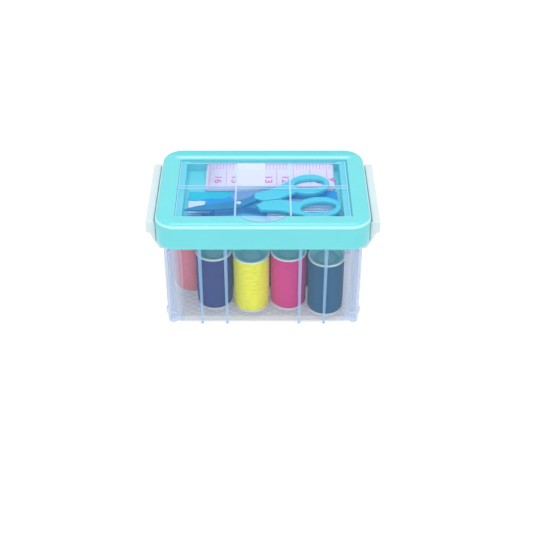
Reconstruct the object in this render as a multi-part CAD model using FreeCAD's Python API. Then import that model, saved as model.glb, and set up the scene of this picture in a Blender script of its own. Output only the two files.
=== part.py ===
import FreeCAD, Part
import math
import os

# Thread spool storage box, in millimetres. +X runs along the box, -Y is its front and +Z is up.
# The origin lies on the surface that the feet stand on, in the middle of the box.
# The box is sized round the spools it holds. The lid, its tray and the latches follow the box.

Vector = FreeCAD.Vector

# Spools, and the room they are given
SPOOL_DIAMETER = 21.8
SPOOL_HEIGHT = 37.4
SPOOL_GAP = 0.3  # between spools side by side
SPOOLS_PER_ROW = 4
ROW_STAGGER = 14.7  # the front row starts this far to the right of the second row
ROW_STEP_SPARE = 0.4  # what the second row stands back, past one spool
LEFT_ROOM = 0.3
RIGHT_ROOM = 6.9
FRONT_ROOM = 0.2
BACK_SPACE = 21.7  # free storage behind the second row
FLOOR_CLEARANCE = 0.1  # under a spool
FRONT_ROW = ("navy", "yellow", "pink", "teal")
FRONT_ROW_SHIFTS = (5.5, 2.8, 5.1, 0.0)  # how far each stands back from the front wall
SECOND_ROW = ("salmon", "grey", "purple", "violet")
SECOND_ROW_SHIFTS = (0.0, 4.3, 2.8, 3.8)

# Bobbin and its winding
FLANGE_THICKNESS = 0.9
FLANGE_LIP_WIDTH = 1.1
FLANGE_RECESS = 0.4  # in the underside of the lower flange
DISH_DEPTH = 2.6  # of the upper flange, inside its lip
DISH_SLOPE = 2.2  # how far in the dish's side slopes
CORE_RADIUS = 6.0
CORE_WALL = 1.3
HUB_DISC_RADIUS = 5.0
HUB_DISC_DROP = 1.9  # the hub disc lies this far under the lip
WINDING_INSET = 0.25  # thread stops this far inside the flange's edge
WINDING_CLEARANCE = 0.05
WINDING_CROWN = 0.3

# Clear box
WALL = 1.5
FOOT_HEIGHT = 1.5
FLOOR_THICKNESS = 2.5
WALL_HEIGHT = 66.7  # from the underside of the floor to the rim
CORNER_RADIUS = 5.0
POST_RADIUS = 2.8
POST_INSET = 2.6  # from the outside of both walls to the post's axis
POST_WALL = 1.5
POST_CAP = 5.0
FOOT_FILLET = 1.0
COLLAR_WIDTH = 0.9
COLLAR_LOW = 5.0  # above the underside of the floor
COLLAR_HEIGHT = 4.0
COLLAR_FILLET = 0.85
RIB_OFFSETS = (21.3, 36.0)
RIB_DEPTH = 2.5
RIB_TOP_WIDTH = 2.0
RIB_BOTTOM_WIDTH = 1.5
RIB_LID_GAP = 0.3

# Lid
LID_SIDE_GAP = 2.7  # between the box and the skirt, along X
LID_FRONT_GAP = 2.3  # the same, along Y
SKIRT_WALL = 1.8
SKIRT_HEIGHT = 17.2
LID_CORNER_RADIUS = 12.0
LID_TOP_FILLET = 3.5
LID_PLATE = 2.0
SEAT_GAP = 0.3
SEAT_RIB_HEIGHT = 4.0
WINDOW_SIDE_MARGIN = 11.3
WINDOW_FRONT_MARGIN = 8.4
WINDOW_BACK_MARGIN = 13.0
WINDOW_CORNER_RADIUS = 1.2
SURROUND_WALL = 2.5
NOTCH_LENGTH = 26.0
NOTCH_DEPTH = 5.4
NOTCH_DROP = 4.5
NOTCH_FLOOR = 1.3
SKIRT_CHAMFER = 0.5

# Tray moulded into the lid
LEDGE_WIDTH = 4.0
LEDGE_DROP = 1.5  # under the lid's top
FRONT_LEDGE = 1.0
BACK_LEDGE = 0.5
TRAY_DEPTH = 8.0  # under the lid's top
TRAY_FLOOR = 1.5
TRAY_WALL = 1.5
TRAY_CORNER_RADIUS = 2.5

# Flip cover over the tray
COVER_THICKNESS = 1.0
COVER_RECESS = 0.3
COVER_GAP = 0.35
COVER_RIB_HEIGHT = 0.25
COVER_RIB_WIDTH = 1.1
COVER_CROSS_RIB_WIDTH = 3.2
COVER_CROSS_LINE = 0.7  # each edge line of the cross rib, and the line along the hinge
COVER_RIB_OFFSET = 15.7
COVER_RIB_END = 2.2  # clear of the hinge axis, so that the ribs pass the frame as the cover opens
COVER_SIDE_RIB_INSET = 3.6
COVER_TAB = 5.2
HINGE_BACK = 1.6  # from the window's back edge to the cover's hinge axis
HINGE_DROP = 1.0  # the axis under the lid's top
COVER_PIN_RADIUS = 0.5
COVER_PIN_LENGTH = 1.6
COVER_PIN_END_GAP = 0.3
COVER_BARREL_RADIUS = 0.6
RUNNING_CLEARANCE = 0.05

# End latches
LATCH_WIDTH = 61.0
LATCH_GAP = 0.7  # from the skirt
LATCH_THICKNESS = 4.8
LATCH_TOP_DROP = 5.0
LATCH_BLOCK_HEIGHT = 7.6
LATCH_STEP = 1.8  # from the block's outer face in to the taper under it
LATCH_PAD_LENGTH = 2.0  # at each end of the latch a pad closes the gap beside the skirt
LATCH_PAD_GAP = 0.1
LATCH_CHEEK = 3.0
LATCH_END_CLEARANCE = 0.3
LATCH_FILLET = 0.8
PIVOT_DROP = 4.6  # under the skirt
PIVOT_OUT = 1.9  # from the box's end wall
PIVOT_EYE_RADIUS = 1.7
PIVOT_BAR_RADIUS = 1.4
PIVOT_PIN_RADIUS = 0.8
PIVOT_PIN_LENGTH = 2.2
PIVOT_WEB = 2.0
PIVOT_SWEEP_CLEARANCE = 0.4
LATCH_SKIRT_CLEARANCE = 0.7
LATCH_CHAMFER = 0.7
LATCH_WALL_CLEARANCE = 0.7
SNAP_LENGTH = 48.0
SNAP_OUT = 0.5
SNAP_HEIGHT = 1.2
SNAP_BEAD_LOW = 5.9  # over the skirt's lower edge
SNAP_GAP = 0.3

# Rolled tape measure and its paper band
TAPE_WIDTH = 22.0
TAPE_LEFT_ROOM = 11.1
TAPE_RIGHT_ROOM = 3.0
TAPE_BACK_ROOM = 0.7
TAPE_THICKNESS = 3.4
TAPE_FAR_RISE = 1.9  # the roll is looser, and so thicker, along its back edge
TAPE_RISE_WIDTH = 3.8
BAND_THICKNESS = 0.2
BAND_CLEARANCE = 0.05
BAND_LENGTH = 16.7
BAND_FROM_LEFT_END = 19.1
TRAY_CLEARANCE = 0.05

# Needle card, its clear pocket and the needles
CARD_END_ROOM = 2.2
CARD_FRONT_ROOM = 0.8
CARD_TAPE_GAP = 1.0
CARD_THICKNESS = 0.6
POCKET_LENGTH = 40.0
POCKET_WIDTH = 20.0
POCKET_RIGHT_ROOM = 1.5
POCKET_FRONT_ROOM = 1.5
POCKET_WALL = 0.4
NEEDLE_COUNT = 6
NEEDLE_RADIUS = 0.4
NEEDLE_LENGTH = 36.0
NEEDLE_PITCH = 2.6
NEEDLE_EYE_LENGTH = 2.4

# Scissors, which lie on the tape and on the needle pocket
SCISSORS_TURN = 10.6  # degrees
SCISSORS_REST_GAP = 0.1
SCISSORS_TIP_ROOM = 0.8
HANDLE_THICKNESS = 2.4
HANDLE_FILLET = 0.8
PIVOT_TO_RING = 44.0
NEAR_RING = (13.2, 10.3)
NEAR_HOLE = (10.2, 5.6)
FAR_RING = (12.0, 10.0)
FAR_HOLE = (8.8, 5.2)
NEAR_RING_OFFSET = 12.3
FAR_RING_OFFSET = 12.3
NEAR_RING_END_ROOM = 1.0  # from the tray's right wall
NEAR_RING_FRONT_ROOM = 0.7
TANG_LENGTH = 24.0
BLADE_THICKNESS = 0.75
BLADE_GAP = 0.1
BLADE_HALF_WIDTH = 4.2
RIVET_RADIUS = 1.0
RIVET_HEAD_RADIUS = 1.6
RIVET_HEAD_HEIGHT = 0.35
RIVET_HEAD_CLEARANCE = 0.05

PAST = 1.0  # how far a cutting tool runs past the face it cuts

# Sizes worked out from those above
spool_radius = SPOOL_DIAMETER / 2
spool_pitch = SPOOL_DIAMETER + SPOOL_GAP
row_step = SPOOL_DIAMETER + ROW_STEP_SPARE
inner_length = (
    LEFT_ROOM + SPOOL_DIAMETER + ROW_STAGGER + (SPOOLS_PER_ROW - 1) * spool_pitch + RIGHT_ROOM
)
inner_depth = FRONT_ROOM + SPOOL_DIAMETER + row_step + max(SECOND_ROW_SHIFTS) + BACK_SPACE
box_length = inner_length + 2 * WALL
box_depth = inner_depth + 2 * WALL
floor_top = FOOT_HEIGHT + FLOOR_THICKNESS
rim = FOOT_HEIGHT + WALL_HEIGHT
plate_under = rim + SEAT_GAP + SEAT_RIB_HEIGHT
lid_top = plate_under + LID_PLATE
skirt_bottom = lid_top - SKIRT_HEIGHT
lid_length = box_length + 2 * (LID_SIDE_GAP + SKIRT_WALL)
lid_depth = box_depth + 2 * (LID_FRONT_GAP + SKIRT_WALL)
post_top = skirt_bottom - RIB_LID_GAP

window_half = lid_length / 2 - WINDOW_SIDE_MARGIN
window_front = -lid_depth / 2 + WINDOW_FRONT_MARGIN
window_back = lid_depth / 2 - WINDOW_BACK_MARGIN
ledge_top = lid_top - LEDGE_DROP
tray_half = window_half - LEDGE_WIDTH
tray_front = window_front + FRONT_LEDGE
tray_back = window_back - BACK_LEDGE
tray_floor_top = lid_top - TRAY_DEPTH
notch_floor_top = lid_top - NOTCH_DROP

cover_top = lid_top - COVER_RECESS
cover_under = cover_top - COVER_THICKNESS
hinge_y = window_back - HINGE_BACK
hinge_z = lid_top - HINGE_DROP

pivot_x = box_length / 2 + PIVOT_OUT
pivot_z = skirt_bottom - PIVOT_DROP
bar_half = LATCH_WIDTH / 2 - LATCH_CHEEK - LATCH_END_CLEARANCE

tape_bottom = tray_floor_top + TRAY_CLEARANCE + BAND_THICKNESS + BAND_CLEARANCE
tape_top = tape_bottom + TAPE_THICKNESS
tape_back = tray_back - TAPE_BACK_ROOM
tape_front = tape_back - TAPE_WIDTH
tape_left = -tray_half + TAPE_LEFT_ROOM
tape_right = tray_half - TAPE_RIGHT_ROOM
card_bottom = tray_floor_top + TRAY_CLEARANCE
card_top = card_bottom + CARD_THICKNESS
card_half = tray_half - CARD_END_ROOM
card_front = tray_front + CARD_FRONT_ROOM
card_back = tape_front - CARD_TAPE_GAP
pocket_right = card_half - POCKET_RIGHT_ROOM
pocket_front = card_front + POCKET_FRONT_ROOM
handle_bottom = tape_top + BAND_THICKNESS + BAND_CLEARANCE + SCISSORS_REST_GAP
handle_top = handle_bottom + HANDLE_THICKNESS


def block(x_low, x_high, y_low, y_high, z_low, z_high):
    size = (x_high - x_low, y_high - y_low, z_high - z_low)
    return Part.makeBox(*size, Vector(x_low, y_low, z_low))


def upright_edges(shape):
    """The straight edges of a block that run along Z."""
    found = []
    for edge in shape.Edges:
        low = edge.BoundBox
        if low.XLength < 1e-6 and low.YLength < 1e-6:
            found.append(edge)
    return found


def edges_at_height(shape, height):
    return [e for e in shape.Edges if abs(e.BoundBox.ZMin - height) + abs(e.BoundBox.ZMax - height) < 1e-5]


def rounded_block(x_low, x_high, y_low, y_high, z_low, z_high, corner):
    solid = block(x_low, x_high, y_low, y_high, z_low, z_high)
    return solid.makeFillet(corner, upright_edges(solid))


def centred_block(length, depth, z_low, z_high, corner):
    return rounded_block(-length / 2, length / 2, -depth / 2, depth / 2, z_low, z_high, corner)


def upright_cylinder(x, y, radius, z_low, z_high):
    return Part.makeCylinder(radius, z_high - z_low, Vector(x, y, z_low))


def cross_cylinder(y_low, y_high, x, z, radius):
    """A cylinder along Y."""
    return Part.makeCylinder(radius, y_high - y_low, Vector(x, y_low, z), Vector(0, 1, 0))


def long_cylinder(x_low, x_high, y, z, radius):
    """A cylinder along X."""
    return Part.makeCylinder(radius, x_high - x_low, Vector(x_low, y, z), Vector(1, 0, 0))


def flat_outline(points, z_low, z_high):
    """An upright prism over an outline of (x, y) points."""
    corners = [Vector(x, y, z_low) for x, y in points]
    face = Part.Face(Part.makePolygon(corners + corners[:1]))
    return face.extrude(Vector(0, 0, z_high - z_low))


def end_outline(points, y_low, y_high):
    """A prism along Y over an outline of (x, z) points."""
    corners = [Vector(x, y_low, z) for x, z in points]
    face = Part.Face(Part.makePolygon(corners + corners[:1]))
    return face.extrude(Vector(0, y_high - y_low, 0))


def turned(points):
    """A solid of revolution about Z from an outline of (radius, z) points."""
    corners = [Vector(r, 0, z) for r, z in points]
    face = Part.Face(Part.makePolygon(corners + corners[:1]))
    return face.revolve(Vector(0, 0, 0), Vector(0, 0, 1), 360)


def arc_prism(chord, rise, base_y, z_low, z_high):
    """The bow that stands out in front of the line y = base_y, centred on X, as an upright prism."""
    radius = ((chord / 2) ** 2 + rise**2) / (2 * rise)
    whole = upright_cylinder(0, base_y - rise + radius, radius, z_low, z_high)
    front = block(-chord, chord, base_y - 2 * rise, base_y, z_low, z_high)
    return whole.common(front)


def save(shape, name):
    """Writes one node, as a single solid or as a group of separate ones."""
    clean = shape.removeSplitter()
    if not clean.isValid() or not clean.Solids:
        raise ValueError(name + " is not a valid solid")
    solid = clean.Solids[0] if len(clean.Solids) == 1 else Part.makeCompound(clean.Solids)
    solid.exportStep("parts/" + name + ".step")
    print(name, len(clean.Solids), round(clean.Volume, 1))
    return solid


# ---------------------------------------------------------------- clear box


def wall_ribs():
    """Upright ribs on the front and back walls, wider at the top, that stop short of the skirt."""
    ribs = []
    for offset in RIB_OFFSETS:
        for x in (-offset, offset):
            for side in (-1, 1):
                y_wall = side * (box_depth / 2 - WALL / 2)
                y_out = side * (box_depth / 2 + RIB_DEPTH)
                outline = [
                    (x - RIB_BOTTOM_WIDTH / 2, FOOT_HEIGHT),
                    (x + RIB_BOTTOM_WIDTH / 2, FOOT_HEIGHT),
                    (x + RIB_TOP_WIDTH / 2, post_top),
                    (x - RIB_TOP_WIDTH / 2, post_top),
                ]
                ribs.append(end_outline(outline, min(y_wall, y_out), max(y_wall, y_out)))
    return ribs


def corner_posts(inside):
    """A hollow post in each corner. It stands down past the floor as a foot and has a collar outside."""
    low = FOOT_HEIGHT + COLLAR_LOW
    high = low + COLLAR_HEIGHT
    posts = []
    hollows = []
    for x_side in (-1, 1):
        for y_side in (-1, 1):
            x = x_side * (box_length / 2 - POST_INSET)
            y = y_side * (box_depth / 2 - POST_INSET)
            post = upright_cylinder(x, y, POST_RADIUS, 0, post_top)
            posts.append(post.makeFillet(FOOT_FILLET, edges_at_height(post, 0)))
            collar = upright_cylinder(x, y, POST_RADIUS + COLLAR_WIDTH, low, high)
            rims = edges_at_height(collar, low) + edges_at_height(collar, high)
            posts.append(collar.makeFillet(COLLAR_FILLET, rims).cut(inside))
            bore = POST_RADIUS - POST_WALL
            hollows.append(upright_cylinder(x, y, bore, -PAST, post_top - POST_CAP))
    return posts, hollows


def latch_bars():
    """A round bar on a web along each end wall, with a blind bore in each end for the latch's pins."""
    bars = []
    bores = []
    for side in (-1, 1):
        axis_x = side * pivot_x
        wall_x = side * (box_length / 2 - WALL / 2)
        bars.append(cross_cylinder(-bar_half, bar_half, axis_x, pivot_z, PIVOT_BAR_RADIUS))
        web_low = pivot_z - PIVOT_WEB / 2
        web_high = pivot_z + PIVOT_WEB / 2
        x_low = min(axis_x, wall_x)
        x_high = max(axis_x, wall_x)
        bars.append(block(x_low, x_high, -bar_half, bar_half, web_low, web_high))
        depth = PIVOT_PIN_LENGTH + LATCH_END_CLEARANCE
        radius = PIVOT_PIN_RADIUS + RUNNING_CLEARANCE
        bores.append(cross_cylinder(bar_half - depth, bar_half + PAST, axis_x, pivot_z, radius))
        bores.append(cross_cylinder(-bar_half - PAST, -bar_half + depth, axis_x, pivot_z, radius))
    return bars, bores


def make_box_body():
    outside = centred_block(box_length, box_depth, FOOT_HEIGHT, rim, CORNER_RADIUS)
    inner_corner = CORNER_RADIUS - WALL
    inside = centred_block(inner_length, inner_depth, floor_top, rim + PAST, inner_corner)
    posts, hollows = corner_posts(inside)
    bars, bores = latch_bars()
    body = outside.cut(inside).fuse(posts + bars + wall_ribs())
    for tool in hollows + bores:
        body = body.cut(tool)
    return body


# ---------------------------------------------------------------- spools


def bobbin(x, y):
    """A bobbin with a flat lower flange, a dished upper one, and a hub that is closed at the top."""
    low = floor_top + FLOOR_CLEARANCE
    high = low + SPOOL_HEIGHT
    lip = spool_radius - FLANGE_LIP_WIDTH
    bore = CORE_RADIUS - CORE_WALL
    dish = high - DISH_DEPTH
    hub_top = high - HUB_DISC_DROP
    outline = [
        (0, hub_top),
        (HUB_DISC_RADIUS, hub_top),
        (HUB_DISC_RADIUS, dish),
        (lip - DISH_SLOPE, dish),
        (lip, high),
        (spool_radius, high),
        (spool_radius, high - FLANGE_THICKNESS),
        (lip, high - FLANGE_THICKNESS),
        (lip - DISH_SLOPE, dish - FLANGE_THICKNESS),
        (CORE_RADIUS, dish - FLANGE_THICKNESS),
        (CORE_RADIUS, low + FLANGE_THICKNESS),
        (spool_radius, low + FLANGE_THICKNESS),
        (spool_radius, low),
        (lip, low),
        (lip, low + FLANGE_RECESS),
        (bore, low + FLANGE_RECESS),
        (bore, dish - FLANGE_THICKNESS),
        (0, dish - FLANGE_THICKNESS),
    ]
    solid = turned(outline)
    solid.translate(Vector(x, y, 0))
    return solid


def winding(x, y):
    """The thread as one closed sleeve, fuller in the middle, whose top follows the dished flange."""
    low = floor_top + FLOOR_CLEARANCE + FLANGE_THICKNESS + WINDING_CLEARANCE
    high = floor_top + FLOOR_CLEARANCE + SPOOL_HEIGHT - FLANGE_THICKNESS - WINDING_CLEARANCE
    inner = CORE_RADIUS + WINDING_CLEARANCE
    outer = spool_radius - WINDING_INSET
    lip = spool_radius - FLANGE_LIP_WIDTH
    shoulder = (high - low) / 8
    outline = [
        (inner, low),
        (outer - WINDING_CROWN, low),
        (outer, low + shoulder),
        (outer, high - shoulder),
        (outer - WINDING_CROWN, high),
        (lip, high),
        (lip - DISH_SLOPE, high - DISH_DEPTH),
        (inner, high - DISH_DEPTH),
    ]
    solid = turned(outline)
    solid.translate(Vector(x, y, 0))
    return solid


def spool_places():
    """The name and centre of every spool."""
    second_x = -inner_length / 2 + LEFT_ROOM + spool_radius
    front_x = second_x + ROW_STAGGER
    front_y = -inner_depth / 2 + FRONT_ROOM + spool_radius
    second_y = front_y + row_step
    places = []
    for index, name in enumerate(FRONT_ROW):
        places.append((name, front_x + index * spool_pitch, front_y + FRONT_ROW_SHIFTS[index]))
    for index, name in enumerate(SECOND_ROW):
        places.append((name, second_x + index * spool_pitch, second_y + SECOND_ROW_SHIFTS[index]))
    return places


# ---------------------------------------------------------------- lid with its tray


def lid_shell():
    """The rounded cap with its skirt, and the rib inside that seats on the box's rim."""
    shell = centred_block(lid_length, lid_depth, skirt_bottom, lid_top, LID_CORNER_RADIUS)
    shell = shell.makeFillet(LID_TOP_FILLET, edges_at_height(shell, lid_top))
    shell = shell.makeChamfer(SKIRT_CHAMFER, edges_at_height(shell, skirt_bottom))
    inner_corner = LID_CORNER_RADIUS - SKIRT_WALL
    hollow = centred_block(
        lid_length - 2 * SKIRT_WALL,
        lid_depth - 2 * SKIRT_WALL,
        skirt_bottom - PAST,
        plate_under,
        inner_corner,
    )
    seat = centred_block(box_length, box_depth, rim + SEAT_GAP, plate_under + LID_PLATE / 2, CORNER_RADIUS)
    seat_hollow = centred_block(
        inner_length, inner_depth, rim, plate_under + LID_PLATE, CORNER_RADIUS - WALL
    )
    return shell.cut(hollow).fuse(seat.cut(seat_hollow))


def tray_block():
    """The solid that the window frame, the tray and the finger notch are cut from."""
    surround = block(
        -window_half - SURROUND_WALL,
        window_half + SURROUND_WALL,
        window_front - TRAY_WALL,
        window_back + SURROUND_WALL,
        ledge_top - TRAY_WALL,
        lid_top - LID_PLATE / 2,
    )
    well = block(
        -tray_half - TRAY_WALL,
        tray_half + TRAY_WALL,
        tray_front - TRAY_WALL,
        tray_back + TRAY_WALL,
        tray_floor_top - TRAY_FLOOR,
        lid_top - LID_PLATE / 2,
    )
    notch_base = arc_prism(
        NOTCH_LENGTH + 2 * TRAY_WALL,
        NOTCH_DEPTH + TRAY_WALL / 2,
        window_front,
        notch_floor_top - NOTCH_FLOOR,
        lid_top - LID_PLATE / 2,
    )
    return surround.fuse([well, notch_base])


def cover_hinge_bores():
    """Blind bores in the window frame for the cover's pins, and the groove its barrel turns in."""
    reach = COVER_PIN_LENGTH + COVER_PIN_END_GAP
    radius = COVER_PIN_RADIUS + RUNNING_CLEARANCE
    groove = COVER_BARREL_RADIUS + COVER_GAP
    return [
        long_cylinder(window_half - PAST, window_half + reach, hinge_y, hinge_z, radius),
        long_cylinder(-window_half - reach, -window_half + PAST, hinge_y, hinge_z, radius),
        long_cylinder(-window_half, window_half, hinge_y, hinge_z, groove),
    ]


def make_lid():
    lid = lid_shell().fuse(tray_block())
    window = rounded_block(
        -window_half,
        window_half,
        window_front,
        window_back,
        ledge_top,
        lid_top + PAST,
        WINDOW_CORNER_RADIUS,
    )
    well = rounded_block(
        -tray_half,
        tray_half,
        tray_front,
        tray_back,
        tray_floor_top,
        lid_top + PAST,
        TRAY_CORNER_RADIUS,
    )
    notch = arc_prism(NOTCH_LENGTH, NOTCH_DEPTH, window_front, notch_floor_top, lid_top + PAST)
    mouth_half = NOTCH_LENGTH / 2 - TRAY_WALL
    mouth_low = window_front - TRAY_WALL / 2
    mouth = block(-mouth_half, mouth_half, mouth_low, tray_front + PAST, notch_floor_top, lid_top + PAST)
    for tool in [window, well, notch, mouth] + cover_hinge_bores():
        lid = lid.cut(tool)
    beads = []
    for side in (-1, 1):
        x_in = side * (lid_length / 2 - SKIRT_WALL / 2)
        x_out = side * (lid_length / 2 + SNAP_OUT)
        low = skirt_bottom + SNAP_BEAD_LOW
        y_end = SNAP_LENGTH / 2
        beads.append(block(min(x_in, x_out), max(x_in, x_out), -y_end, y_end, low, low + SNAP_HEIGHT))
    return lid.fuse(beads)


# ---------------------------------------------------------------- flip cover


def make_window_cover():
    """The clear cover: a ribbed plate with a bowed front edge, a hinge barrel and a pin at each end."""
    half = window_half - COVER_GAP
    front = window_front + COVER_GAP
    plate = block(-half, half, front, hinge_y, cover_under, cover_top)
    tab = arc_prism(NOTCH_LENGTH - 2 * COVER_GAP, COVER_TAB, front + COVER_GAP, cover_under, cover_top)
    barrel = long_cylinder(-half, half, hinge_y, hinge_z, COVER_BARREL_RADIUS)
    pins = long_cylinder(-half - COVER_PIN_LENGTH, half + COVER_PIN_LENGTH, hinge_y, hinge_z, COVER_PIN_RADIUS)
    rib_low = cover_top - COVER_THICKNESS / 2
    rib_high = cover_top + COVER_RIB_HEIGHT
    rib_back = hinge_y - COVER_RIB_END
    rib_front = front + COVER_GAP
    side = half - COVER_SIDE_RIB_INSET
    middle = (window_front + window_back) / 2
    cross = COVER_CROSS_RIB_WIDTH / 2
    thin = COVER_RIB_WIDTH / 2
    wide = half - COVER_GAP
    ribs = [
        block(-wide, wide, middle - cross, middle - cross + COVER_CROSS_LINE, rib_low, rib_high),
        block(-wide, wide, middle + cross - COVER_CROSS_LINE, middle + cross, rib_low, rib_high),
        block(-side, side, rib_back - COVER_CROSS_LINE, rib_back, rib_low, rib_high),
    ]
    for x in (-COVER_RIB_OFFSET, COVER_RIB_OFFSET):
        ribs.append(block(x - thin, x + thin, rib_front, rib_back, rib_low, rib_high))
    return plate.fuse([tab, barrel, pins] + ribs)


# ---------------------------------------------------------------- end latches


def latch_outline():
    """The latch's end profile on the right, as (x, z): a block beside the lid, and a taper to the pivot."""
    inner = lid_length / 2 + LATCH_GAP
    outer = inner + LATCH_THICKNESS
    top = lid_top - LATCH_TOP_DROP
    block_low = top - LATCH_BLOCK_HEIGHT
    taper = outer - LATCH_STEP
    shelf = skirt_bottom - LATCH_SKIRT_CLEARANCE
    wall = box_length / 2 + LATCH_WALL_CLEARANCE
    slope = math.atan2(block_low - pivot_z, taper - pivot_x)
    reach = PIVOT_EYE_RADIUS
    return [
        (inner, top),
        (outer, top),
        (outer, block_low),
        (taper, block_low),
        (pivot_x + reach * math.sin(slope), pivot_z - reach * math.cos(slope)),
        (wall, pivot_z),
        (wall, shelf),
        (inner - LATCH_CHAMFER, shelf),
        (inner, shelf + LATCH_CHAMFER),
    ]


def right_latch():
    """Cheeks with pins and pads at both ends, a panel between that clears the bar, and the snap lip."""
    half = LATCH_WIDTH / 2
    inner = lid_length / 2 + LATCH_GAP
    outer = inner + LATCH_THICKNESS
    top = lid_top - LATCH_TOP_DROP
    body = end_outline(latch_outline(), -half, half)
    soft = []
    for edge in body.Edges:
        box = edge.BoundBox
        lengthwise = box.YLength > LATCH_WIDTH - 1e-6
        if lengthwise and (abs(box.ZMin - top) < 1e-6 or abs(box.XMax - outer) < 1e-6):
            soft.append(edge)
    body = body.makeFillet(LATCH_FILLET, soft)
    body = body.fuse(cross_cylinder(-half, half, pivot_x, pivot_z, PIVOT_EYE_RADIUS))
    sweep = PIVOT_BAR_RADIUS + PIVOT_SWEEP_CLEARANCE
    gap_half = half - LATCH_CHEEK
    round_gap = cross_cylinder(-gap_half, gap_half, pivot_x, pivot_z, sweep)
    web_gap = block(
        box_length / 2,
        pivot_x,
        -gap_half,
        gap_half,
        pivot_z - PIVOT_EYE_RADIUS - PAST,
        pivot_z + sweep,
    )
    body = body.cut(round_gap).cut(web_gap)
    pins = []
    pads = []
    for side in (-1, 1):
        ends = (side * (gap_half - PIVOT_PIN_LENGTH), side * (gap_half + LATCH_CHEEK / 2))
        pins.append(cross_cylinder(min(ends), max(ends), pivot_x, pivot_z, PIVOT_PIN_RADIUS))
        pad_ends = (side * half, side * (half - LATCH_PAD_LENGTH))
        pads.append(
            block(
                lid_length / 2 + LATCH_PAD_GAP,
                inner + LATCH_THICKNESS / 4,
                min(pad_ends),
                max(pad_ends),
                skirt_bottom,
                top - LATCH_FILLET,
            )
        )
    lip_low = skirt_bottom + SNAP_BEAD_LOW + SNAP_HEIGHT + SNAP_GAP
    lip = block(
        inner - SNAP_OUT,
        inner + LATCH_THICKNESS / 2,
        -SNAP_LENGTH / 2,
        SNAP_LENGTH / 2,
        lip_low,
        lip_low + SNAP_HEIGHT,
    )
    return body.fuse(pins + pads + [lip])


# ---------------------------------------------------------------- what lies in the tray


def roll_section(x_low, x_high, grow):
    """A prism along X over the rolled tape's end profile, grown by a clearance all round."""
    front = tape_front - grow
    back = tape_back + grow
    rise_start = tape_back - TAPE_RISE_WIDTH
    profile = [
        (front, tape_bottom - grow),
        (back, tape_bottom - grow),
        (back, tape_top + TAPE_FAR_RISE + grow),
        (rise_start, tape_top + grow),
        (front, tape_top + grow),
    ]
    corners = [Vector(x_low, y, z) for y, z in profile]
    face = Part.Face(Part.makePolygon(corners + corners[:1]))
    return face.extrude(Vector(x_high - x_low, 0, 0))


def make_tape():
    """The tape rolled flat, with half-round ends, and thicker along its back edge."""
    radius = TAPE_THICKNESS / 2
    middle = tape_bottom + radius
    core = roll_section(tape_left + radius, tape_right - radius, 0)
    ends = [
        cross_cylinder(tape_front, tape_back, x, middle, radius)
        for x in (tape_left + radius, tape_right - radius)
    ]
    return core.fuse(ends)


def make_band():
    """The paper band, a flat sleeve round the rolled tape."""
    left = tape_left + BAND_FROM_LEFT_END
    right = left + BAND_LENGTH
    sleeve = roll_section(left, right, BAND_CLEARANCE + BAND_THICKNESS)
    return sleeve.cut(roll_section(left - PAST, right + PAST, BAND_CLEARANCE))


def make_card():
    return block(-card_half, card_half, card_front, card_back, card_bottom, card_top)


def pocket_block(inset, z_low, z_high, corner):
    return rounded_block(
        pocket_right - POCKET_LENGTH + inset,
        pocket_right - inset,
        pocket_front + inset,
        pocket_front + POCKET_WIDTH - inset,
        z_low,
        z_high,
        corner,
    )


def make_pocket():
    """The clear blister on the card, open underneath, that the needles lie in."""
    top = handle_bottom - SCISSORS_REST_GAP
    outside = pocket_block(0, card_top, top, 2 * POCKET_WALL)
    inside = pocket_block(POCKET_WALL, card_top - PAST, top - POCKET_WALL, POCKET_WALL)
    return outside.cut(inside)


def make_needles():
    """A row of needles on the card, each a straight shank that narrows to its point."""
    needles = []
    z = card_top + NEEDLE_RADIUS + TRAY_CLEARANCE
    x_low = pocket_right - (POCKET_LENGTH + NEEDLE_LENGTH) / 2
    y_middle = pocket_front + POCKET_WIDTH / 2
    for index in range(NEEDLE_COUNT):
        y = y_middle + (index - (NEEDLE_COUNT - 1) / 2) * NEEDLE_PITCH
        shank_end = x_low + NEEDLE_LENGTH * 3 / 4
        shank = long_cylinder(x_low, shank_end, y, z, NEEDLE_RADIUS)
        point = Part.makeCone(
            NEEDLE_RADIUS, NEEDLE_RADIUS / 4, NEEDLE_LENGTH / 4, Vector(shank_end, y, z), Vector(1, 0, 0)
        )
        eye = block(
            x_low + NEEDLE_EYE_LENGTH / 2,
            x_low + NEEDLE_EYE_LENGTH * 3 / 2,
            y - NEEDLE_RADIUS / 3,
            y + NEEDLE_RADIUS / 3,
            z - NEEDLE_RADIUS - PAST,
            z + NEEDLE_RADIUS + PAST,
        )
        needles.append(shank.fuse(point).removeSplitter().cut(eye))
    return Part.makeCompound(needles)


# ---------------------------------------------------------------- scissors

turn = math.radians(SCISSORS_TURN)
ring_x = PIVOT_TO_RING * math.cos(turn) + NEAR_RING_OFFSET * math.sin(turn)
ring_y = PIVOT_TO_RING * math.sin(turn) - NEAR_RING_OFFSET * math.cos(turn)
scissors_x = tray_half - NEAR_RING_END_ROOM - NEAR_RING[0] - ring_x
scissors_y = tray_front + NEAR_RING_FRONT_ROOM + NEAR_RING[1] - ring_y
blade_length = (scissors_x + tray_half - SCISSORS_TIP_ROOM) / math.cos(turn)
lower_blade_z = handle_bottom + HANDLE_THICKNESS / 2 - BLADE_GAP / 2 - BLADE_THICKNESS
upper_blade_z = handle_bottom + HANDLE_THICKNESS / 2 + BLADE_GAP / 2


def placed(shape):
    """Turns and moves a shape from the scissors' own frame, whose origin is the rivet."""
    shape.rotate(Vector(0, 0, 0), Vector(0, 0, 1), SCISSORS_TURN)
    shape.translate(Vector(scissors_x, scissors_y, 0))
    return shape


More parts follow.
